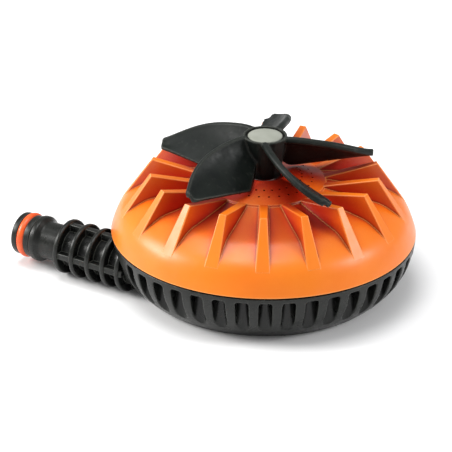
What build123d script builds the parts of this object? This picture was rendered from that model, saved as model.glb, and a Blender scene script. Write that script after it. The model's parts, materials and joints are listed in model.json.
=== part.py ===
"""Turbine lawn sprinkler: finned cover, fluted base, side inlet nipple and a free five-blade rotor.

Millimetres, +Z up. The origin is on the resting face, straight under the rotor axis.
The inlet nipple points along -X, to one side of the rotor axis.
"""
import os
from math import cos, radians, sin

from build123d import *

os.makedirs("parts", exist_ok=True)

# ---------------------------------------------------------------- driving dimensions
rim_r = 57.0            # widest edge of the cover
rim_z = 21.2            # underside of the cover's rim
foot_r = 45.7           # flat resting face
base_inner_r = 49.2     # inside of the fluted wall
floor_t = 1.6           # floor of the base
cover_wall = 2.0        # wall of the cover
crown_r = 22.7          # outer edge of the perforated crown
crown_z = 41.3          # height of that edge
lip_r = 8.4             # top of the crown, round the rotor's foot
lip_z = 44.1
fin_count = 18
fin_corner = (42.5, 45.6)   # radius and height of a fin's outer corner
fin_toe = (53.5, 29.7)      # where a fin runs out on the cover
fin_crest_t = 2.7       # thickness of a fin along its crest
fin_draft = 0.08        # growth of half that thickness per millimetre downwards
flute_count = 42
flute_phase = 1.3       # azimuth of the first flute, degrees
flute_w = 4.8           # the flutes are upright U-shaped grooves
flute_axis_r = 53.7
flute_top_z = 18.9
jet_count = 30          # jet holes in each of the two rows
jet_d = 0.8
jet_rows = ((13.9, 43.0, 0.0), (17.8, 42.3, 0.5))   # radius, height, stagger in pitches

nipple_y = -34.2        # the inlet runs beside the rotor axis
nipple_z = 10.5
nipple_tip = 86.6       # all nipple stations are distances along -X
nipple_tail = 12.6
nipple_azimuth = 220     # where the nipple leaves the fluted wall, degrees
bore_r = 5.3
nose_r = 8.15            # tip ring and the band behind the O-ring
flange_r = 8.8          # flange that guides the hose connector
neck_r = 7.15
rib_r = 10.45
rib_w = 2.0
rib_stations = (64.6, 57.4, 50.3, 43.5, 37.0)
tail_r = 7.4

hub_foot = (5.9, 43.2)  # radius and height of the rotor hub's lower edge
hub_top = (8.2, 59.4)
spindle_r = 2.5
running_gap = 0.05
blade_count = 5
blade_azimuth = 185.0   # direction of the first blade's long axis, degrees

post_azimuths = (50, 130, 185, 310)
post_r = 41.0
post_split_z = 10.0     # where the base's towers meet the cover's posts
chamber_floor_z = 33.0
chamber_screw_count = 6
chamber_screw_r = 25.0

inlet_plane = Plane(origin=(0, nipple_y, nipple_z), x_dir=(0, -1, 0), z_dir=(-1, 0, 0))
section = Plane.XZ      # sketch x is the radius, sketch y is the height


def finish(part, name):
    """Label one finished piece and write it as its own file."""
    part.label = name
    export_step(part, f"parts/{name}.step")


def ring(z0, z1, r_out, r_in):
    """A plain ring about the rotor axis."""
    with BuildPart() as piece:
        with BuildSketch(Plane.XY.offset(z0)):
            Circle(r_out)
            Circle(r_in, mode=Mode.SUBTRACT)
        extrude(amount=z1 - z0)
    return piece.part


def o_ring(plane, station, floor_r, outer_r, width):
    """A seated O-ring, squeezed between a groove floor and the bore round it."""
    half_height = (outer_r - floor_r) / 2
    with BuildPart() as piece:
        with BuildSketch(Plane(plane.origin, x_dir=plane.x_dir, z_dir=plane.y_dir)):
            with Locations((floor_r + half_height, -station)):
                Ellipse(half_height, width / 2)
        revolve(axis=Axis(plane.origin, plane.z_dir))
    return piece.part


# ---------------------------------------------------------------- base shell
skirt_points = [(foot_r, 0), (51.0, 5.0), (54.4, 10.1), (56.2, 15.1), (57.0, rim_z - 0.6)]
tongue_r = 55.7         # the cover rests on this tongue and leaves a shadow gap outside it
tongue_in_r = 53.3
rebate_z = 19.9         # the cover's lip drops into this rebate
collar_top_z = 19.6     # the saddle that carries the nipple stops under the cover's lip

with BuildPart() as skirt_block:
    with BuildSketch(section):
        with BuildLine():
            Line((0, 0), (foot_r, 0))
            Spline(*skirt_points)
            Line(skirt_points[-1], (0, rim_z - 0.6))
            Line((0, rim_z - 0.6), (0, 0))
        make_face()
    revolve(axis=Axis.Z)

with BuildPart() as nipple_collar:
    with BuildSketch(inlet_plane.offset(29.0)):
        Circle(12.5)
        with Locations((0, collar_top_z - nipple_z - 15.0)):
            Rectangle(30.0, 30.0, mode=Mode.INTERSECT)
    extrude(amount=6.0)
    add(skirt_block.part, mode=Mode.INTERSECT)

with BuildPart() as flute:
    with BuildSketch(Plane.XY.offset(3.0)):
        with Locations((flute_axis_r, 0)):
            Circle(flute_w / 2)
        with Locations((flute_axis_r + 4.0, 0)):
            Rectangle(8.0, flute_w)
    extrude(amount=flute_top_z - 3.0)
    fillet(flute.edges().group_by(Axis.Z)[-1], 1.0)

with BuildPart() as flutes:
    for index in range(flute_count):
        azimuth = flute_phase + index * 360 / flute_count
        if abs(azimuth - nipple_azimuth) > 20:
            add(flute.part.rotate(Axis.Z, azimuth))

with BuildPart() as base_shell:
    add(skirt_block.part)
    with BuildSketch(Plane.XY.offset(rim_z - 0.6)):
        Circle(tongue_r)
    extrude(amount=0.6)
    with BuildSketch(section):
        with BuildLine():
            Polyline((0, rim_z), (0, floor_t), (42.5, floor_t))
            Spline((42.5, floor_t), (47.0, 4.0), (base_inner_r, 8.5))
            Polyline((base_inner_r, 8.5), (base_inner_r, rebate_z), (tongue_in_r, rebate_z),
                     (tongue_in_r, rim_z), (0, rim_z))
        make_face()
    revolve(axis=Axis.Z, mode=Mode.SUBTRACT)
    add(nipple_collar.part)
    for azimuth in post_azimuths:
        tower = (post_r * cos(radians(azimuth)), post_r * sin(radians(azimuth)))
        with BuildSketch(Plane.XY):
            with Locations(tower):
                Circle(5.0)
        extrude(amount=post_split_z)
        with BuildSketch(Plane.XY):
            with Locations(tower):
                Circle(3.2)
        extrude(amount=7.5, mode=Mode.SUBTRACT)
        with BuildSketch(Plane.XY):
            with Locations(tower):
                Circle(1.6)
        extrude(amount=post_split_z, mode=Mode.SUBTRACT)
    with BuildSketch(inlet_plane.offset(20.0)):
        Circle(tail_r)
    extrude(amount=30.0, mode=Mode.SUBTRACT)
    with BuildSketch(inlet_plane.offset(34.6)):
        Circle(rib_r + 0.3)
    extrude(amount=40.0, mode=Mode.SUBTRACT)
    add(flutes.part, mode=Mode.SUBTRACT)
finish(base_shell.part, "base_shell")

# ---------------------------------------------------------------- dome cover
outer_skin = [(crown_r + 0.4, crown_z - 0.7), (32.0, 38.7), (39.2, 37.4), (44.2, 36.3), (48.1, 34.2),
              (50.7, 32.5), (53.4, 29.8), (55.0, 26.9), (56.3, 23.5), (rim_r, rim_z)]
inner_skin = [(52.6, rim_z), (52.4, 25.5), (51.4, 29.3), (46.8, 32.7), (42.2, 34.4), (32.0, 36.6),
              (crown_r, 38.6)]
boss_r = 7.0
boss_floor_z = 41.5     # floor of the recess that the rotor's foot turns in
boss_foot_z = 38.0

with BuildPart() as fin:
    with BuildSketch(section):
        with BuildLine():
            Polyline((crown_r - 0.6, crown_z), fin_corner, fin_toe, (49.0, 31.0), (40.0, 35.5),
                     (crown_r - 0.6, 39.0), close=True)
        make_face()
    extrude(amount=4.0, both=True)
    half_top = fin_crest_t / 2
    half_foot = half_top + fin_draft * (fin_corner[1] - 25.0)
    with BuildSketch(Plane.YZ):
        Polygon((half_top, fin_corner[1] + 0.01), (-half_top, fin_corner[1] + 0.01),
                (-half_foot, 25.0), (half_foot, 25.0), align=None)
    extrude(amount=60.0, mode=Mode.INTERSECT)
    crest_edges = fin.edges().filter_by(lambda edge: edge.center().Z > 37 and abs(edge.center().Y) > 1)
    fillet(crest_edges.filter_by(lambda edge: abs(edge.tangent_at(0.5).Y) < 0.5
                                 and edge.center().X > 25 and edge.length > 15), 0.4)

with BuildPart() as dome_cover:
    with BuildSketch(section):
        with BuildLine():
            Polyline((0, boss_floor_z), (8.0, boss_floor_z), (8.0, lip_z), (lip_r + 0.4, lip_z),
                     (crown_r, crown_z), outer_skin[0])
            Spline(*outer_skin)
            Line(outer_skin[-1], inner_skin[0])
            Spline(*inner_skin)
            Polyline(inner_skin[-1], (19.5, 39.5), (boss_r, 41.4 - cover_wall), (boss_r, boss_foot_z),
                     (0, boss_foot_z), (0, boss_floor_z))
        make_face()
    revolve(axis=Axis.Z)
    with BuildSketch(Plane.XY.offset(rebate_z + 0.1)):
        Circle(tongue_in_r - 0.1)
        Circle(tongue_in_r - 2.1, mode=Mode.SUBTRACT)
    extrude(amount=rim_z + 3.0 - rebate_z)
    with BuildSketch(Plane.XY.offset(chamber_floor_z)):
        Circle(22.5)
        Circle(19.5, mode=Mode.SUBTRACT)
    extrude(amount=7.0)
    with PolarLocations(0, fin_count):
        add(fin.part)
    with BuildSketch(Plane.XY.offset(chamber_floor_z)):
        with PolarLocations(chamber_screw_r, chamber_screw_count):
            Circle(3.0)
    extrude(amount=6.0)
    with BuildSketch(Plane.XY.offset(chamber_floor_z)):
        with PolarLocations(chamber_screw_r, chamber_screw_count):
            Circle(1.25)
    extrude(amount=4.5, mode=Mode.SUBTRACT)
    for azimuth in post_azimuths:
        post = (post_r * cos(radians(azimuth)), post_r * sin(radians(azimuth)))
        with BuildSketch(Plane.XY.offset(post_split_z)):
            with Locations(post):
                Circle(4.0)
        extrude(amount=25.5)
        with BuildSketch(Plane.XY.offset(post_split_z)):
            with Locations(post):
                Circle(1.45)
        extrude(amount=12.0, mode=Mode.SUBTRACT)
    for row_r, row_z, stagger in jet_rows:
        with BuildSketch(Plane.XY.offset(row_z - 5.0)):
            with PolarLocations(row_r, jet_count, start_angle=stagger * 360 / jet_count):
                Circle(jet_d / 2)
        extrude(amount=10.0, mode=Mode.SUBTRACT)
    with BuildSketch(Plane.XY.offset(boss_foot_z)):
        Circle(spindle_r)
    extrude(amount=boss_floor_z - boss_foot_z, mode=Mode.SUBTRACT)
    with BuildSketch(inlet_plane.offset(34.6)):
        Circle(rib_r + 0.3)
    extrude(amount=40.0, mode=Mode.SUBTRACT)
finish(dome_cover.part, "dome_cover")

# ---------------------------------------------------------------- inlet nipple and its rings
nose_groove = (80.9, 84.1, 6.4)     # from, to, floor radius
tail_groove = (17.2, 19.0, 6.3)
band_foot = 78.5        # the band behind the O-ring, a thin groove, the flange, then a cone to the neck
flange_top = 77.9
flange_foot = 75.7
neck_top = 74.4

with BuildPart() as inlet_nipple:
    with BuildSketch(Plane(inlet_plane.origin, x_dir=(0, -1, 0), z_dir=(0, 0, 1))):
        with BuildLine():
            Polyline((bore_r, -nipple_tail), (tail_r, -nipple_tail), (tail_r, -tail_groove[0]),
                     (tail_groove[2], -tail_groove[0]), (tail_groove[2], -tail_groove[1]),
                     (tail_r, -tail_groove[1]), (tail_r, -34.6), (neck_r, -34.6), (neck_r, -neck_top),
                     (flange_r, -flange_foot), (flange_r, -flange_top), (nose_r - 0.5, -flange_top),
                     (nose_r - 0.5, -band_foot), (nose_r, -band_foot), (nose_r, -nose_groove[0]),
                     (nose_groove[2], -nose_groove[0]), (nose_groove[2], -nose_groove[1]),
                     (nose_r, -nose_groove[1]), (nose_r, -nipple_tip + 0.7), (nose_r - 0.7, -nipple_tip),
                     (bore_r + 0.8, -nipple_tip), (bore_r, -nipple_tip + 0.8), close=True)
        make_face()
    revolve(axis=Axis(inlet_plane.origin, inlet_plane.z_dir))
    for station in rib_stations:
        with BuildSketch(inlet_plane.offset(station - rib_w / 2)):
            Circle(rib_r)
            Circle(bore_r + 0.5, mode=Mode.SUBTRACT)
        extrude(amount=rib_w)
    with BuildSketch(inlet_plane.offset(34.6)):
        Rectangle(2 * rib_r - 1.2, 2.4)
        Rectangle(2.4, 2 * rib_r - 1.2)
        Circle(bore_r + 0.5, mode=Mode.SUBTRACT)
    extrude(amount=rib_stations[0] - 34.6)
finish(inlet_nipple.part, "inlet_nipple")

nose_o_ring = o_ring(inlet_plane, (nose_groove[0] + nose_groove[1]) / 2, nose_groove[2], 8.65, 3.0)
finish(nose_o_ring, "nose_o_ring")
nipple_seal = o_ring(inlet_plane, (tail_groove[0] + tail_groove[1]) / 2, tail_groove[2], tail_r + 0.05, 1.2)
finish(nipple_seal, "nipple_seal")

strainer_r = 4.6
strainer_wall = 0.7
with BuildPart() as inlet_strainer:
    with BuildSketch(inlet_plane.offset(12.0)):
        Circle(tail_r - 0.1)
        Circle(strainer_r - strainer_wall, mode=Mode.SUBTRACT)
    extrude(amount=nipple_tail - 12.0)
    with BuildSketch(inlet_plane.offset(12.0)):
        Circle(strainer_r)
        Circle(strainer_r - strainer_wall, mode=Mode.SUBTRACT)
    extrude(amount=14.0)
    with BuildSketch(inlet_plane.offset(26.0)):
        Circle(strainer_r)
        with PolarLocations(2.4, 6):
            Circle(0.5, mode=Mode.SUBTRACT)
    extrude(amount=strainer_wall)
    for station in (14.5, 17.0, 19.5, 22.0, 24.5):
        with BuildSketch(inlet_plane.offset(station - 0.5)):
            Rectangle(12, 2.2)
            Rectangle(2.2, 12)
        extrude(amount=1.0, mode=Mode.SUBTRACT)
finish(inlet_strainer.part, "inlet_strainer")

# ---------------------------------------------------------------- feed pipe to the centre
pipe_r = 6.9
socket_r = 8.7
riser_socket_z = 20.2
riser_top_z = 29.0
spigot_r = 7.0
bend_r = 9.0
socket_mouth = 22.0
pipe_points = [(-12.0, nipple_y, nipple_z), (0, nipple_y, nipple_z), (0, 0, nipple_z),
               (0, 0, riser_socket_z)]

with BuildPart() as feed_pipe:
    with BuildLine() as pipe_path:
        FilletPolyline(*pipe_points, radius=bend_r)
    with BuildSketch(inlet_plane.offset(12.0)):
        Circle(pipe_r)
    sweep(path=pipe_path.line)
    with BuildSketch(inlet_plane.offset(10.0)):
        Circle(socket_r)
    extrude(amount=socket_mouth - 10.0)
    with BuildSketch(Plane.XY.offset(riser_socket_z - 2.0)):
        Circle(socket_r)
    extrude(amount=riser_top_z - riser_socket_z + 2.0)
    with BuildSketch(inlet_plane.offset(12.0)):
        Circle(bore_r)
    sweep(path=pipe_path.line, mode=Mode.SUBTRACT)
    with BuildSketch(inlet_plane.offset(12.0)):
        Circle(tail_r + 0.05)
    extrude(amount=socket_mouth - 12.0, mode=Mode.SUBTRACT)
    with BuildSketch(Plane.XY.offset(riser_socket_z)):
        Circle(spigot_r + 0.05)
    extrude(amount=riser_top_z - riser_socket_z, mode=Mode.SUBTRACT)
finish(feed_pipe.part, "feed_pipe")

# ---------------------------------------------------------------- water chamber
cup_r = 28.5
cup_t = 2.4
cup_under_z = chamber_floor_z - cup_t
spigot_groove = (23.2, 24.8, 6.1)
seal_ring = (20.2, 21.8)
seal_depth = 0.8

with BuildPart() as chamber_cup:
    with BuildSketch(section):
        with BuildLine():
            Polyline((bore_r, riser_socket_z + 0.3), (spigot_r, riser_socket_z + 0.3),
                     (spigot_r, spigot_groove[0]), (spigot_groove[2], spigot_groove[0]),
                     (spigot_groove[2], spigot_groove[1]), (spigot_r, spigot_groove[1]),
                     (spigot_r, cup_under_z), (cup_r, cup_under_z), (cup_r, chamber_floor_z),
                     (seal_ring[1], chamber_floor_z), (seal_ring[1], chamber_floor_z - seal_depth),
                     (seal_ring[0], chamber_floor_z - seal_depth), (seal_ring[0], chamber_floor_z),
                     (bore_r, chamber_floor_z), close=True)
        make_face()
    revolve(axis=Axis.Z)
    with BuildSketch(Plane.XY.offset(cup_under_z)):
        with PolarLocations(chamber_screw_r, chamber_screw_count):
            Circle(1.4)
    extrude(amount=cup_t, mode=Mode.SUBTRACT)
finish(chamber_cup.part, "chamber_cup")

chamber_seal = ring(chamber_floor_z - seal_depth, chamber_floor_z, seal_ring[1], seal_ring[0])
finish(chamber_seal, "chamber_seal")
feed_seal = o_ring(Plane.XY, (spigot_groove[0] + spigot_groove[1]) / 2, spigot_groove[2], spigot_r + 0.05, 1.0)
finish(feed_seal, "feed_seal")


def screw(head_z, shank_top_z, shank_r, head_r, head_h):
    """A pan-head screw driven upwards, with a cross recess in its head."""
    with BuildPart() as piece:
        with BuildSketch(Plane.XY.offset(head_z - head_h)):
            Circle(head_r)
        extrude(amount=head_h)
        with BuildSketch(Plane.XY.offset(head_z)):
            Circle(shank_r)
        extrude(amount=shank_top_z - head_z)
        with BuildSketch(Plane.XY.offset(head_z - head_h)):
            Rectangle(head_r * 1.2, head_r * 0.28)
            Rectangle(head_r * 0.28, head_r * 1.2)
        extrude(amount=head_h * 0.6, mode=Mode.SUBTRACT)
    return piece.part


with BuildPart() as chamber_screws:
    with PolarLocations(chamber_screw_r, chamber_screw_count):
        add(screw(cup_under_z, chamber_floor_z + 4.3, 1.25, 2.4, 1.8))
finish(chamber_screws.part, "chamber_screws")

with BuildPart() as base_screws:
    for azimuth in post_azimuths:
        with Locations((post_r * cos(radians(azimuth)), post_r * sin(radians(azimuth)))):
            add(screw(7.5, post_split_z + 11.0, 1.45, 3.0, 2.2))
finish(base_screws.part, "base_screws")

# ---------------------------------------------------------------- spindle and bearings
shoulder_r = 4.2
shoulder_top_z = 42.5
spindle_top_z = 55.2
nut_foot_z = 34.8

with BuildPart() as spindle:
    with BuildSketch(Plane.XY.offset(34.0)):
        Circle(spindle_r)
    extrude(amount=spindle_top_z - 34.0)
    with BuildSketch(Plane.XY.offset(boss_floor_z)):
        Circle(shoulder_r)
    extrude(amount=shoulder_top_z - boss_floor_z)
    with BuildSketch(Plane.XY.offset(spindle_top_z)):
        Circle(1.5)
    extrude(amount=-7.0, mode=Mode.SUBTRACT)
finish(spindle.part, "spindle")

with BuildPart() as spindle_nut:
    with BuildSketch(Plane.XY.offset(nut_foot_z)):
        RegularPolygon(4.0, 6, major_radius=False)
        Circle(spindle_r, mode=Mode.SUBTRACT)
    extrude(amount=boss_foot_z - nut_foot_z)
finish(spindle_nut.part, "spindle_nut")

lower_washer = ring(shoulder_top_z, shoulder_top_z + 0.6, 4.6, spindle_r + running_gap)
finish(lower_washer, "lower_washer")
upper_washer = ring(spindle_top_z, spindle_top_z + 0.6, 4.4, 1.5)
finish(upper_washer, "upper_washer")

with BuildPart() as retaining_screw:
    head_foot_z = spindle_top_z + 0.6
    with BuildSketch(Plane.XY.offset(head_foot_z)):
        Circle(3.2)
    extrude(amount=1.8)
    with BuildSketch(Plane.XY.offset(head_foot_z)):
        Circle(1.5)
    extrude(amount=-7.4)
    with BuildSketch(Plane.XY.offset(head_foot_z + 1.8)):
        Rectangle(4.2, 0.9)
        Rectangle(0.9, 4.2)
    extrude(amount=-1.1, mode=Mode.SUBTRACT)
finish(retaining_screw.part, "retaining_screw")

# ---------------------------------------------------------------- rotor
bush_r = 4.0
bush_foot_z = hub_foot[1]
bore_top_z = 55.0
ledge_z = 57.8
plug_r = 6.0
cap_r = 6.4
cap_recess_r = 7.3

# Stations along a blade: distance out, then offset and height of the spine, which bows forward and
# falls towards the tip. The low edge is a straight line that the same stations follow.
blade_spine = (
    (3.0, -3.0, 59.2),
    (7.0, -4.4, 59.1),
    (12.0, -5.6, 58.8),
    (17.0, -6.2, 58.0),
    (23.0, -6.4, 56.7),
    (29.0, -5.6, 54.8),
    (35.0, -3.5, 52.1),
    (39.5, -0.8, 49.8),
    (43.5, 0.8, 48.4),
)
low_corner = Vector(16.6, 7.6, 44.0)    # the blade's heel, just clear of the crown
low_tip = Vector(39.7, 5.4, 47.4)
spine_t = 2.8
low_edge_t = 1.2
plate_t = 1.7

with BuildPart() as blade:
    for reach, spine_y, spine_z in blade_spine:
        low_point = low_corner + (low_tip - low_corner) * ((reach - low_corner.X) / (low_tip.X - low_corner.X))
        with BuildSketch(Plane.YZ.offset(reach)):
            chord = Vector(low_point.Y - spine_y, low_point.Z - spine_z)
            along = chord.normalized()
            across = Vector(-along.Y, along.X)
            spine = Vector(spine_y, spine_z)
            low = Vector(low_point.Y, low_point.Z)
            neck = spine + along * 2.6
            belly = spine + chord * 0.5 - across * chord.length * 0.04
            with BuildLine():
                ThreePointArc(spine + across * spine_t / 2 + along * 0.9, spine - along * 0.3,
                              spine - across * spine_t / 2 + along * 0.9)
                Spline(spine - across * spine_t / 2 + along * 0.9, neck - across * plate_t / 2,
                       belly - across * plate_t / 2, low - across * low_edge_t / 2)
                Line(low - across * low_edge_t / 2, low + across * low_edge_t / 2)
                Spline(low + across * low_edge_t / 2, belly + across * plate_t / 2,
                       neck + across * plate_t / 2, spine + across * spine_t / 2 + along * 0.9)
            make_face()
    loft()

with BuildPart() as blade_outline:
    with BuildSketch(Plane.XY.offset(40.0)):
        with BuildLine():
            Polyline((0, -9), (37.0, -9), (37.0, -3.9))
            Spline((37.0, -3.9), (39.9, -1.7), (41.4, 1.0), (41.3, 3.7), (39.6, 5.9))
            Polyline((39.6, 5.9), (16.6, 8.4), (5.5, 1.4), (0, 1.4), (0, -9))
        make_face()
    extrude(amount=25.0)

with BuildPart() as trimmed_blade:
    add(blade.part)
    add(blade_outline.part, mode=Mode.INTERSECT)

with BuildPart() as rotor:
    with BuildSketch(section):
        Polygon((0, hub_foot[1]), hub_foot, hub_top, (0, hub_top[1]), align=None)
    revolve(axis=Axis.Z)
    for index in range(blade_count):
        add(trimmed_blade.part.rotate(Axis.Z, blade_azimuth + index * 360 / blade_count))
    for bore, foot_z, top_z in ((bush_r, hub_foot[1] - 1, bore_top_z), (plug_r, bore_top_z, ledge_z),
                                (cap_recess_r, ledge_z, hub_top[1] + 2)):
        with BuildSketch(Plane.XY.offset(foot_z)):
            Circle(bore)
        extrude(amount=top_z - foot_z, mode=Mode.SUBTRACT)
finish(rotor.part, "rotor")

lower_bush = ring(bush_foot_z, 48.2, bush_r, spindle_r + running_gap)
finish(lower_bush, "lower_bush")
upper_bush = ring(50.2, bore_top_z, bush_r, spindle_r + running_gap)
finish(upper_bush, "upper_bush")

with BuildPart() as hub_cap:
    with BuildSketch(section):
        with BuildLine():
            Polyline((0, 58.2), (4.8, 58.2), (4.8, 56.4), (plug_r, 56.4), (plug_r, ledge_z),
                     (cap_r, ledge_z), (cap_r, 58.9))
            TangentArc((0, 59.5), (cap_r, 58.9), tangent=(1, 0))
            Line((0, 59.5), (0, 58.2))
        make_face()
    revolve(axis=Axis.Z)
finish(hub_cap.part, "hub_cap")
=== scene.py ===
import json
from math import cos, pi, radians, sin

import bmesh
import bpy
from mathutils import Matrix, Vector


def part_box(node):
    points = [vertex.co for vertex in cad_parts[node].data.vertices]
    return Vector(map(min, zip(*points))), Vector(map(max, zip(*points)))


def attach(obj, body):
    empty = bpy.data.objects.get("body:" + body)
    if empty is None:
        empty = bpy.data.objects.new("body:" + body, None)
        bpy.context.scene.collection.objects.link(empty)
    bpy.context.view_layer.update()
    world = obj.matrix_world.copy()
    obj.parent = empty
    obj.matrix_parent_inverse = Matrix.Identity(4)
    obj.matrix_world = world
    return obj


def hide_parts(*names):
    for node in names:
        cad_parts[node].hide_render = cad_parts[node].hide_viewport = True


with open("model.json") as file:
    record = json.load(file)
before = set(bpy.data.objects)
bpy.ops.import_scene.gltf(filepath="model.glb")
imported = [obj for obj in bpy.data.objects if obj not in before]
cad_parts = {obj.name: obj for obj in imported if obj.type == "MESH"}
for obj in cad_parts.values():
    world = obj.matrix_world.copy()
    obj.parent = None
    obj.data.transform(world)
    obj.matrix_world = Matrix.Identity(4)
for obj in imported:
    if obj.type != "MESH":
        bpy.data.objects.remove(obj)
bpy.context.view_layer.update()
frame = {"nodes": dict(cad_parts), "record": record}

MM = 0.001
nodes = frame["nodes"]
nipple_low, nipple_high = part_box("inlet_nipple")
NIPPLE_Y = (nipple_low.y + nipple_high.y) / 2 / MM
NIPPLE_Z = (nipple_low.z + nipple_high.z) / 2 / MM
NIPPLE_TIP = -nipple_low.x / MM
RIB_R = (nipple_high.z - nipple_low.z) / 2 / MM
# maps a piece made about +Z to the nipple's axis, with +Z turned to -X
ALONG_NIPPLE = Matrix.Translation((0, NIPPLE_Y * MM, NIPPLE_Z * MM)) @ Matrix.Rotation(-pi / 2, 4, "Y")


# ---------------------------------------------------------------- camera and light
def make_camera():
    """A long lens, 30 degrees round towards +X and 27.5 degrees above level."""
    distance, azimuth, elevation = 0.84, radians(30), radians(27.5)
    yaw, pitch, roll = 0.0169, 0.02297, -0.0195
    back = Vector((sin(azimuth) * cos(elevation), -cos(azimuth) * cos(elevation), sin(elevation)))
    position = back * distance
    right = Vector((cos(azimuth), sin(azimuth), 0))
    axes = [right, back.cross(right), back]
    for angle, turned_about, sense in ((yaw, 1, 1), (pitch, 0, 1), (roll, 2, -1)):
        turn = Matrix.Rotation(angle, 3, axes[turned_about] * sense)
        axes = [turn @ axis for axis in axes]
    data = bpy.data.cameras.new("camera")
    data.sensor_width = 36.0
    data.lens = 176.45
    data.clip_start, data.clip_end = 0.05, 20.0
    camera = bpy.data.objects.new("camera", data)
    camera.matrix_world = Matrix.Translation(position) @ Matrix(axes).transposed().to_4x4()
    bpy.context.scene.collection.objects.link(camera)
    bpy.context.scene.camera = camera


def area_light(name, position, target, size, power, colour=(1, 1, 1)):
    data = bpy.data.lights.new(name, "AREA")
    data.shape = "RECTANGLE"
    data.size, data.size_y = size
    data.energy = power
    data.color = colour
    light = bpy.data.objects.new(name, data)
    position, target = Vector(position), Vector(target)
    light.matrix_world = Matrix.Translation(position) @ (target - position).to_track_quat(
        "-Z", "Y").to_matrix().to_4x4()
    bpy.context.scene.collection.objects.link(light)


def make_studio():
    """White surroundings, a key light from the front left, a soft top and a glint from the right."""
    world = bpy.data.worlds.new("studio")
    bpy.context.scene.world = world
    world.use_nodes = True
    background = world.node_tree.nodes["Background"]
    background.inputs["Color"].default_value = (1, 1, 1, 1)
    background.inputs["Strength"].default_value = 0.43
    area_light("key", (-0.78, -0.46, 0.50), (0, 0, 0.02), (0.45, 0.4), 10.5, (1.0, 0.99, 0.97))
    area_light("top", (-0.1, -0.1, 1.0), (0, 0, 0.02), (0.6, 0.6), 6.5)
    area_light("right", (0.80, 0.30, 0.50), (0.02, 0, 0.02), (0.3, 0.3), 4.0)
    bpy.context.scene.view_settings.view_transform = "Standard"


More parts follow.
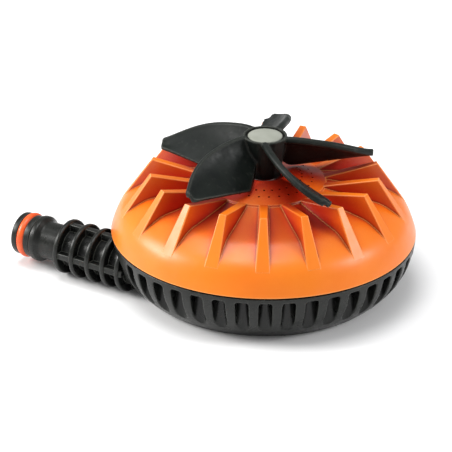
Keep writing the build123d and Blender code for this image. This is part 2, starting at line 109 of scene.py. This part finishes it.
# ---------------------------------------------------------------- materials
class Shader:
    """A Principled material and the few nodes that vary its colour, roughness and surface."""

    def __init__(self, name, roughness, specular=0.5, coat=0.0, coat_roughness=0.1):
        self.material = bpy.data.materials.new(name)
        self.material.use_nodes = True
        self.tree = self.material.node_tree
        self.bsdf = self.tree.nodes["Principled BSDF"]
        self.bsdf.inputs["Roughness"].default_value = roughness
        self.bsdf.inputs["Specular IOR Level"].default_value = specular
        self.bsdf.inputs["Coat Weight"].default_value = coat
        self.bsdf.inputs["Coat Roughness"].default_value = coat_roughness
        self.place = self.tree.nodes.new("ShaderNodeTexCoord").outputs["Object"]
        self.last_bump = None

    def feed(self, socket, value):
        """Link an output to a socket, or set the socket to a plain value."""
        if isinstance(value, bpy.types.NodeSocket):
            self.tree.links.new(value, socket)
        else:
            socket.default_value = value

    def node(self, kind, **inputs):
        made = self.tree.nodes.new(kind)
        for key, value in inputs.items():
            self.feed(made.inputs[key.replace("_", " ")], value)
        return made

    def vector_math(self, operation, first, second=None):
        made = self.tree.nodes.new("ShaderNodeVectorMath")
        made.operation = operation
        self.feed(made.inputs[0], first)
        if second is not None:
            self.feed(made.inputs[1], second)
        return made.outputs

    def noise(self, size_mm, detail=2.0, stretch=(1, 1, 1)):
        """Noise whose features are about size_mm across, stretched along the object's axes."""
        mapped = self.node("ShaderNodeMapping", Vector=self.place, Scale=stretch)
        return self.node("ShaderNodeTexNoise", Vector=mapped.outputs["Vector"], Scale=1 / (size_mm * MM),
                         Detail=detail, Roughness=0.55).outputs["Fac"]

    def ramp(self, factor, low, high, dark, light):
        """Map factor, between low and high, to a colour between dark and light."""
        made = self.node("ShaderNodeValToRGB", Fac=factor)
        for element, position, colour in zip(made.color_ramp.elements, (low, high), (dark, light)):
            element.position = position
            element.color = (*colour, 1)
        return made.outputs["Color"]

    def spread(self, factor, from_low, from_high, to_low, to_high):
        """Map factor from one range to another, clamped at its ends."""
        made = self.node("ShaderNodeMapRange", Value=factor, From_Min=from_low, From_Max=from_high,
                         To_Min=to_low, To_Max=to_high)
        return made.outputs["Result"]

    def mix(self, factor, first, second):
        """The first colour where factor is 0 and the second where it is 1."""
        made = self.tree.nodes.new("ShaderNodeMix")
        made.data_type = "RGBA"
        self.feed(made.inputs["Factor"], factor)
        for socket, value in ((made.inputs[6], first), (made.inputs[7], second)):
            self.feed(socket, (*value, 1) if isinstance(value, tuple) else value)
        return made.outputs[2]

    def both(self, first, second):
        made = self.tree.nodes.new("ShaderNodeMath")
        made.operation = "MULTIPLY"
        self.feed(made.inputs[0], first)
        self.feed(made.inputs[1], second)
        return made.outputs["Value"]

    def edges(self, width_mm):
        """1 on edges within about width_mm, 0 elsewhere."""
        bevel = self.node("ShaderNodeBevel", Radius=width_mm * MM)
        normal = self.tree.nodes.new("ShaderNodeNewGeometry").outputs["Normal"]
        likeness = self.vector_math("DOT_PRODUCT", bevel.outputs["Normal"], normal)["Value"]
        return self.spread(likeness, 0.995, 0.93, 0.0, 1.0)

    def shelter(self, reach_mm):
        """Ambient occlusion, used for painted shade: 0 far down between walls, 1 in the open."""
        made = self.node("ShaderNodeAmbientOcclusion", Distance=reach_mm * MM)
        made.samples = 8
        return self.spread(made.outputs["AO"], 0.40, 0.97, 0.0, 1.0)

    def beyond(self, radius_mm):
        """0 within a radius of the rotor axis, 1 outside it."""
        flat = self.vector_math("MULTIPLY", self.place, (1, 1, 0))["Vector"]
        radius = self.vector_math("LENGTH", flat)["Value"]
        return self.spread(radius, radius_mm * MM, (radius_mm + 1.5) * MM, 0.0, 1.0)

    def colour(self, socket):
        self.tree.links.new(socket, self.bsdf.inputs["Base Color"])

    def roughness(self, factor, low, high):
        self.tree.links.new(self.spread(factor, 0.3, 0.7, low, high), self.bsdf.inputs["Roughness"])

    def bump(self, height, strength, depth_mm):
        """Add one layer of relief on top of the layers before it."""
        made = self.node("ShaderNodeBump", Height=height, Strength=strength, Distance=depth_mm * MM)
        if self.last_bump is not None:
            self.tree.links.new(self.last_bump, made.inputs["Normal"])
        self.last_bump = made.outputs["Normal"]
        self.tree.links.new(self.last_bump, self.bsdf.inputs["Normal"])


def cover_orange():
    """Satin-gloss moulded plastic: faint clouds and orange peel, with a painted shade of dark red in its
    hollows, jet openings and tight creases, and a painted highlight of pale orange along its edges.
    """
    shader = Shader("cover_orange", 0.36, 0.42, 0.18, 0.28)
    clouds = shader.ramp(shader.noise(22, 3), 0.3, 0.7, (0.78, 0.165, 0.002), (0.82, 0.195, 0.003))
    # painted shade: where ambient occlusion finds walls within 20 mm, as between the fins and under the
    # rotor, the colour goes to a dark red
    painted_shade = shader.mix(shader.shelter(20), (0.46, 0.016, 0.003), clouds)
    # painted shade: within about 1.2 mm of walls, in the jet openings and along the fins' feet, the
    # colour goes to a near-black red
    painted_hole_shade = shader.mix(shader.shelter(1.2), (0.10, 0.006, 0.002), painted_shade)
    # painted highlight: edges outside the crown's radius are mixed to a pale orange
    outside_crown = shader.beyond(21.5)
    painted_edge_highlight = shader.mix(shader.both(shader.edges(0.5), outside_crown), painted_hole_shade, (0.92, 0.36, 0.10))
    specks = shader.spread(shader.noise(0.9, 4), 0.62, 0.75, 0.0, 0.12)
    shader.colour(shader.mix(specks, painted_edge_highlight, (0.90, 0.30, 0.05)))
    shader.roughness(shader.noise(6, 4), 0.33, 0.45)
    shader.bump(shader.noise(1.4, 3), 0.10, 0.05)
    shader.bump(shader.noise(0.35, 2), 0.12, 0.02)
    return shader.material


def moulded_black(name, dark, light, roughness, specular, grain_mm, grain, edge_mm):
    """Moulded black plastic with a spark-eroded grain and pale scuffs, with painted shade darkening its
    hollows and a painted highlight lightening its edges.
    """
    shader = Shader(name, roughness, specular)
    tone = shader.ramp(shader.noise(7, 4), 0.3, 0.72, dark, light)
    scuffs = shader.spread(shader.noise(1.6, 6, (1, 1, 0.35)), 0.58, 0.78, 0.0, 0.35)
    worn = shader.mix(scuffs, tone, (0.050, 0.052, 0.046))
    # painted shade: hollows darken to near black
    painted_hollow_shade = shader.mix(shader.shelter(5), (0.002, 0.002, 0.002), worn)
    # painted highlight: edges are lightened to a pale grey
    shader.colour(shader.mix(shader.edges(edge_mm), painted_hollow_shade, (0.070, 0.074, 0.064)))
    shader.roughness(shader.noise(3, 4), roughness - 0.07, roughness + 0.10)
    shader.bump(shader.noise(grain_mm, 3), grain, 0.06)
    shader.bump(shader.noise(0.18, 2), grain * 0.6, 0.03)
    return shader.material


def cap_grey():
    """Fine matt grey plastic."""
    shader = Shader("cap_grey", 0.5, 0.4)
    shader.colour(shader.ramp(shader.noise(4, 3), 0.3, 0.7, (0.25, 0.262, 0.222), (0.29, 0.302, 0.262)))
    shader.roughness(shader.noise(2, 3), 0.45, 0.6)
    shader.bump(shader.noise(0.25, 2), 0.25, 0.03)
    return shader.material


def rubber(name, dark, light, roughness):
    """Moulded rubber with a dull bloom."""
    shader = Shader(name, roughness, 0.5)
    shader.colour(shader.ramp(shader.noise(3, 3), 0.3, 0.7, dark, light))
    shader.roughness(shader.noise(1.5, 3), roughness - 0.06, roughness + 0.12)
    shader.bump(shader.noise(0.5, 3), 0.10, 0.03)
    return shader.material


def plain_plastic(name, dark, light, roughness):
    """Plain moulded plastic for the inner parts."""
    shader = Shader(name, roughness, 0.5)
    shader.colour(shader.ramp(shader.noise(9, 3), 0.3, 0.7, dark, light))
    shader.roughness(shader.noise(3, 3), roughness - 0.05, roughness + 0.08)
    shader.bump(shader.noise(0.4, 2), 0.15, 0.02)
    return shader.material


def stainless_steel():
    """Turned stainless steel with fine rings and a few darker stains."""
    shader = Shader("steel", 0.28)
    shader.bsdf.inputs["Metallic"].default_value = 1.0
    shader.colour(shader.ramp(shader.noise(2.5, 5), 0.35, 0.7, (0.46, 0.45, 0.43), (0.66, 0.66, 0.65)))
    shader.roughness(shader.noise(1.2, 4), 0.22, 0.38)
    shader.bump(shader.noise(0.2, 3, (0.2, 0.2, 2.5)), 0.2, 0.02)
    return shader.material


def floor_paper():
    """Pale studio paper."""
    shader = Shader("floor_paper", 0.75, 0.2)
    shader.colour(shader.ramp(shader.noise(60, 3), 0.3, 0.7, (0.93, 0.93, 0.935), (0.95, 0.95, 0.955)))
    shader.bump(shader.noise(1.0, 3), 0.05, 0.05)
    return shader.material


MATERIALS = {
    "cover_orange": cover_orange(),
    "base_black": moulded_black("base_black", dark=(0.005, 0.006, 0.005), light=(0.013, 0.014, 0.012),
                                roughness=0.30, specular=0.30, grain_mm=0.6, grain=0.45, edge_mm=0.5),
    "rotor_black": moulded_black("rotor_black", dark=(0.004, 0.006, 0.0055), light=(0.008, 0.011, 0.009),
                                 roughness=0.42, specular=0.16, grain_mm=0.45, grain=0.22, edge_mm=1.0),
    "cap_grey": cap_grey(),
    "seal_orange": rubber("seal_orange", (0.78, 0.075, 0.008), (0.88, 0.115, 0.014), 0.32),
    "seal_black": rubber("seal_black", (0.010, 0.010, 0.010), (0.022, 0.022, 0.022), 0.5),
    "strainer_white": plain_plastic("strainer_white", (0.68, 0.67, 0.62), (0.78, 0.77, 0.73), 0.45),
    "pipe_grey": plain_plastic("pipe_grey", (0.09, 0.09, 0.10), (0.13, 0.13, 0.14), 0.45),
    "bearing_white": plain_plastic("bearing_white", (0.74, 0.74, 0.71), (0.82, 0.82, 0.80), 0.35),
    "steel": stainless_steel(),
}


# ---------------------------------------------------------------- mesh helpers
def new_piece(name, mesh, slot_name, body, *replaced):
    """Put a mesh in the scene with its finish, its body and the CAD nodes that it stands for."""
    piece = bpy.data.objects.new(name, mesh)
    bpy.context.scene.collection.objects.link(piece)
    mesh.materials.clear()
    mesh.materials.append(MATERIALS[slot_name])
    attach(piece, body)
    if replaced:
        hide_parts(*replaced)
    return piece


def smooth(mesh):
    for face in mesh.polygons:
        face.use_smooth = True


def arc_corner(before, corner, after, radius, steps=4):
    """Points that round one corner of an outline over about the given radius."""
    before, corner, after = Vector(before), Vector(corner), Vector(after)
    to_before, to_after = before - corner, after - corner
    reach = min(radius, 0.45 * to_before.length, 0.45 * to_after.length)
    start = corner + to_before.normalized() * reach
    end = corner + to_after.normalized() * reach
    points = []
    for step in range(steps + 1):
        t = step / steps
        points.append(start * (1 - t) ** 2 + corner * 2 * t * (1 - t) + end * t ** 2)
    return points


def rounded_outline(corners):
    """A closed outline from (x, y, corner radius) rows, with its corners rounded."""
    points = []
    count = len(corners)
    for index, (x, y, radius) in enumerate(corners):
        if radius <= 0:
            points.append(Vector((x, y)))
        else:
            points += arc_corner(corners[index - 1][:2], (x, y), corners[(index + 1) % count][:2], radius)
    return points


def lathe(name, outline, segments, closed=True):
    """Turn an outline of (radius, height) points, in millimetres, about +Z.

    An outline that isn't closed starts and ends on the axis.
    """
    bm = bmesh.new()
    rings = []
    for radius, height in outline:
        if radius < 1e-6:
            rings.append([bm.verts.new((0, 0, height * MM))])
            continue
        ring = []
        for step in range(segments):
            angle = 2 * pi * step / segments
            ring.append(bm.verts.new((radius * MM * cos(angle), radius * MM * sin(angle), height * MM)))
        rings.append(ring)
    pairs = list(zip(rings, rings[1:]))
    if closed:
        pairs.append((rings[-1], rings[0]))
    for low, high in pairs:
        for step in range(segments):
            after = (step + 1) % segments
            if len(low) == 1:
                bm.faces.new((low[0], high[after], high[step]))
            elif len(high) == 1:
                bm.faces.new((low[step], low[after], high[0]))
            else:
                bm.faces.new((low[step], low[after], high[after], high[step]))
    bmesh.ops.recalc_face_normals(bm, faces=bm.faces)
    mesh = bpy.data.meshes.new(name)
    bm.to_mesh(mesh)
    bm.free()
    smooth(mesh)
    return mesh


def bevelled_box(bm, low, high, bevel):
    """Add a box between two corners, in millimetres, with rounded edges, to a bmesh."""
    centre = (Vector(low) + Vector(high)) / 2 * MM
    size = (Vector(high) - Vector(low)) * MM
    place = Matrix.Translation(centre) @ Matrix.Diagonal((*size, 1))
    made = bmesh.ops.create_cube(bm, size=1.0, matrix=place)
    edges = list({edge for vert in made["verts"] for edge in vert.link_edges})
    bmesh.ops.bevel(bm, geom=edges, offset=bevel * MM, segments=3, profile=0.5, affect="EDGES")


def join_meshes(name, meshes):
    bm = bmesh.new()
    for mesh in meshes:
        bm.from_mesh(mesh)
    joined = bpy.data.meshes.new(name)
    bm.to_mesh(joined)
    bm.free()
    smooth(joined)
    return joined


# ---------------------------------------------------------------- inlet nipple
# radii, and stations measured along the nipple's axis, all in millimetres
NECK_R = 7.15
TAIL_R = 7.4
BORE_R = 5.3
NOSE_R = 8.15
FLANGE_R = 8.8
TAIL = 12.6             # inner end
SHOULDER = 34.6         # where the neck starts, inside the base's collar
NECK_TOP = 74.4
FLANGE = (75.8, 77.9)
NOSE_FOOT = 78.5
# grooves: from, to, floor radius
TAIL_GROOVE = (17.2, 19.0, 6.3)
FLANGE_GROOVE = (78.0, 78.4, 7.6)   # the thin one in front of the flange
RING_GROOVE = (80.9, 84.1, 6.4)
RIB_W = 2.0
RIB_STATIONS = (64.6, 57.4, 50.3, 43.5, 37.0)
WEB_HALF_T = 1.2
TURNED_SEGMENTS = 160


def cut_groove(radius, groove, foot_round, top_round):
    """Outline corners of a square groove in a cylinder, with rounded mouths."""
    foot, top, floor_r = groove
    floor_round = 0.1
    return [(radius, foot, foot_round), (floor_r, foot, floor_round), (floor_r, top, floor_round),
            (radius, top, top_round)]


def nipple_outline():
    """The turned section, from the bore's inner end round the outside to the tip."""
    return rounded_outline(
        [(BORE_R, TAIL, 0.3), (TAIL_R, TAIL, 0.4)]
        + cut_groove(TAIL_R, TAIL_GROOVE, 0.1, 0.1)
        + [(TAIL_R, SHOULDER, 0.1), (NECK_R, SHOULDER, 0.1), (NECK_R, NECK_TOP, 0.5),
           (FLANGE_R, FLANGE[0], 0.45), (FLANGE_R, FLANGE[1], 0.45),
           (FLANGE_GROOVE[2], FLANGE_GROOVE[0], 0.15), (FLANGE_GROOVE[2], FLANGE_GROOVE[1], 0.15),
           (NOSE_R, NOSE_FOOT, 0.35)]
        + cut_groove(NOSE_R, RING_GROOVE, 0.25, 0.35)
        + [(NOSE_R, NIPPLE_TIP, 0.9), (BORE_R + 0.3, NIPPLE_TIP, 0.5), (BORE_R, NIPPLE_TIP - 1.0, 0.3)])


def nipple_rib(station):
    """One thin rib round the neck, with a rounded crest and small root fillets."""
    foot, top = station - RIB_W / 2, station + RIB_W / 2
    root_r, buried_r = NECK_R + 0.3, NECK_R - 0.4
    return lathe("nipple_rib", rounded_outline([
        (buried_r, foot - 0.1, 0), (root_r, foot, 0.3), (RIB_R, foot, 0.8),
        (RIB_R, top, 0.8), (root_r, top, 0.3), (buried_r, top + 0.1, 0)]), TURNED_SEGMENTS)


def nipple_webs():
    """Four lengthwise webs that join the ribs."""
    bm = bmesh.new()
    for axis in range(2):
        for side in (-1, 1):
            low = [-WEB_HALF_T, -WEB_HALF_T, SHOULDER + 0.4]
            high = [WEB_HALF_T, WEB_HALF_T, RIB_STATIONS[0]]
            low[axis], high[axis] = sorted((side * (NECK_R - 0.6), side * (RIB_R - 0.7)))
            bevelled_box(bm, low, high, 0.35)
    webs = bpy.data.meshes.new("nipple_webs")
    bm.to_mesh(webs)
    bm.free()
    return webs


def make_nipple():
    """The nipple's turned body with rounded bands, its thin ribs and the webs between them."""
    body = lathe("nipple_body", nipple_outline(), TURNED_SEGMENTS)
    ribs = [nipple_rib(station) for station in RIB_STATIONS]
    mesh = join_meshes("ribbed_nipple", [body, *ribs, nipple_webs()])
    mesh.transform(ALONG_NIPPLE)
    return new_piece("ribbed_nipple", mesh, "base_black", "base", "inlet_nipple")


def make_nose_ring():
    """The fat O-ring on the nose, squeezed a little flat against its groove."""
    outer_r, width, steps = 8.65, 3.0, 28
    foot, top, floor_r = RING_GROOVE
    centre_r, half = (floor_r + outer_r) / 2, (outer_r - floor_r) / 2
    outline = []
    for step in range(steps):
        angle = 2 * pi * step / steps
        outline.append((centre_r + half * cos(angle), (foot + top) / 2 + width / 2 * sin(angle)))
    mesh = lathe("nose_ring", outline, TURNED_SEGMENTS)
    mesh.transform(ALONG_NIPPLE)
    return new_piece("nose_ring", mesh, "seal_orange", "base", "nose_o_ring")


# ---------------------------------------------------------------- hub cap
def make_cap():
    """A shallow domed cap with a plug below it that snaps into the hub."""
    low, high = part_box("hub_cap")
    foot, top = low.z / MM, high.z / MM
    cap_r, plug_r, plug_inner_r = 6.4, 6.0, 4.8
    ledge_z, underside_z = 57.8, 58.2
    crown = [(0.0, top), (2.2, top - 0.04), (4.2, top - 0.16), (5.7, top - 0.38)]
    edge = arc_corner(crown[-1], (cap_r, top - 0.6), (cap_r, top - 1.6), 0.5)
    outline = crown + [tuple(point) for point in edge]
    outline += [(cap_r, ledge_z + 0.05), (plug_r, ledge_z), (plug_r, foot), (plug_inner_r, foot),
                (plug_inner_r, underside_z), (0.0, underside_z)]
    mesh = lathe("domed_cap", outline, 96, closed=False)
    return new_piece("domed_cap", mesh, "cap_grey", "rotor", "hub_cap")


# ---------------------------------------------------------------- moulded parts with softened edges
def softened(source, name, slot_name, body, voxel_mm, relax):
    """A CAD node remeshed finely and relaxed, so that its edges are rounded as a moulding's are."""
    mesh = nodes[source].data.copy()
    mesh.name = name
    piece = new_piece(name, mesh, slot_name, body, source)
    remesh = piece.modifiers.new("remesh", "REMESH")
    remesh.mode = "VOXEL"
    remesh.voxel_size = voxel_mm * MM
    remesh.use_smooth_shade = True
    relaxing = piece.modifiers.new("relax", "SMOOTH")
    relaxing.factor = 0.5
    relaxing.iterations = relax
    bpy.context.view_layer.update()
    evaluated = piece.evaluated_get(bpy.context.evaluated_depsgraph_get())
    finished = bpy.data.meshes.new_from_object(evaluated)
    piece.modifiers.clear()
    piece.data = finished
    finished.materials.clear()
    finished.materials.append(MATERIALS[slot_name])
    smooth(finished)
    return piece


# ---------------------------------------------------------------- scene
make_camera()
make_studio()
bpy.ops.mesh.primitive_plane_add(size=6)
floor = bpy.context.object
floor.name = "floor"
floor.data.materials.append(floor_paper())

for row in frame["record"]["subparts"]:
    data = nodes[row["node"]].data
    data.materials.clear()
    data.materials.append(MATERIALS[row["material_slot"]])

make_nipple()
make_nose_ring()
make_cap()
softened("rotor", "moulded_rotor", "rotor_black", "rotor", voxel_mm=0.34, relax=4)
softened("base_shell", "moulded_base", "base_black", "base", voxel_mm=0.36, relax=2)
